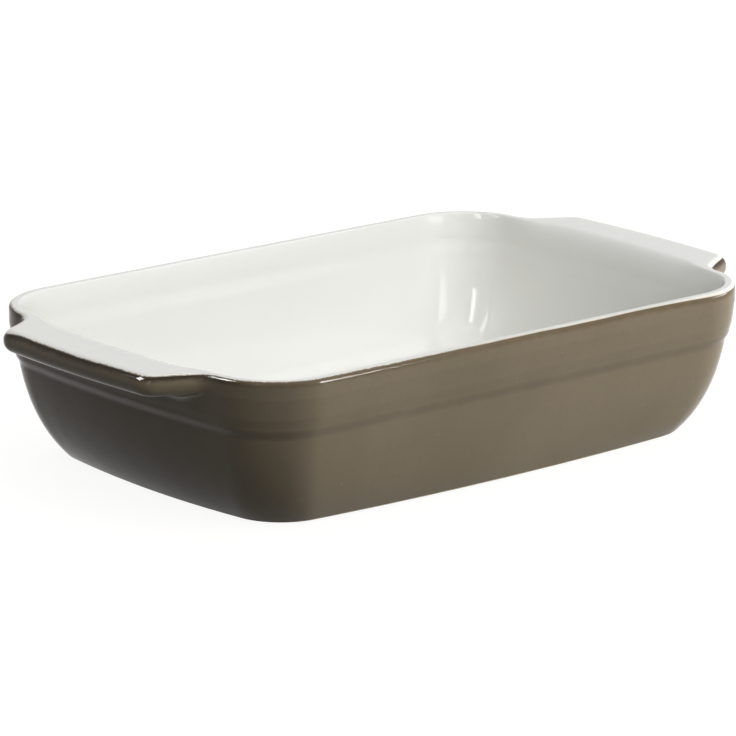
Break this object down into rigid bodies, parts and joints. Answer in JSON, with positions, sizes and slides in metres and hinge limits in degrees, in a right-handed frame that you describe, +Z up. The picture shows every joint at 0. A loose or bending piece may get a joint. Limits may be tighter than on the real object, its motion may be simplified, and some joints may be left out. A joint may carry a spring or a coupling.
{
  "type": "rectangular baking dish",
  "caption": "Rectangular round-cornered stoneware baking dish with a stepped, flared wall and an integral wing handle at each end, white glazed inside and taupe outside.",
  "frame": {"origin": "middle of the foot, on the surface that the dish stands on", "axes": "+X along the length towards the right handle, +Y across the width, +Z up out of the open top"},
  "size_m": [0.397, 0.236, 0.08],
  "materials": {
    "bare_stoneware": "fired, unglazed, matt buff clay",
    "white_glaze": "high-gloss white glaze",
    "taupe_glaze": "high-gloss taupe glaze, breaking to dark brown at the rim"
  },
  "bodies": {
    "root": {"stoneware_tub": "bare_stoneware", "left_handle_lug": "bare_stoneware", "right_handle_lug": "bare_stoneware", "interior_glaze": "white_glaze", "exterior_glaze": "taupe_glaze", "underside_glaze": "taupe_glaze"}
  },
  "joints": []
}
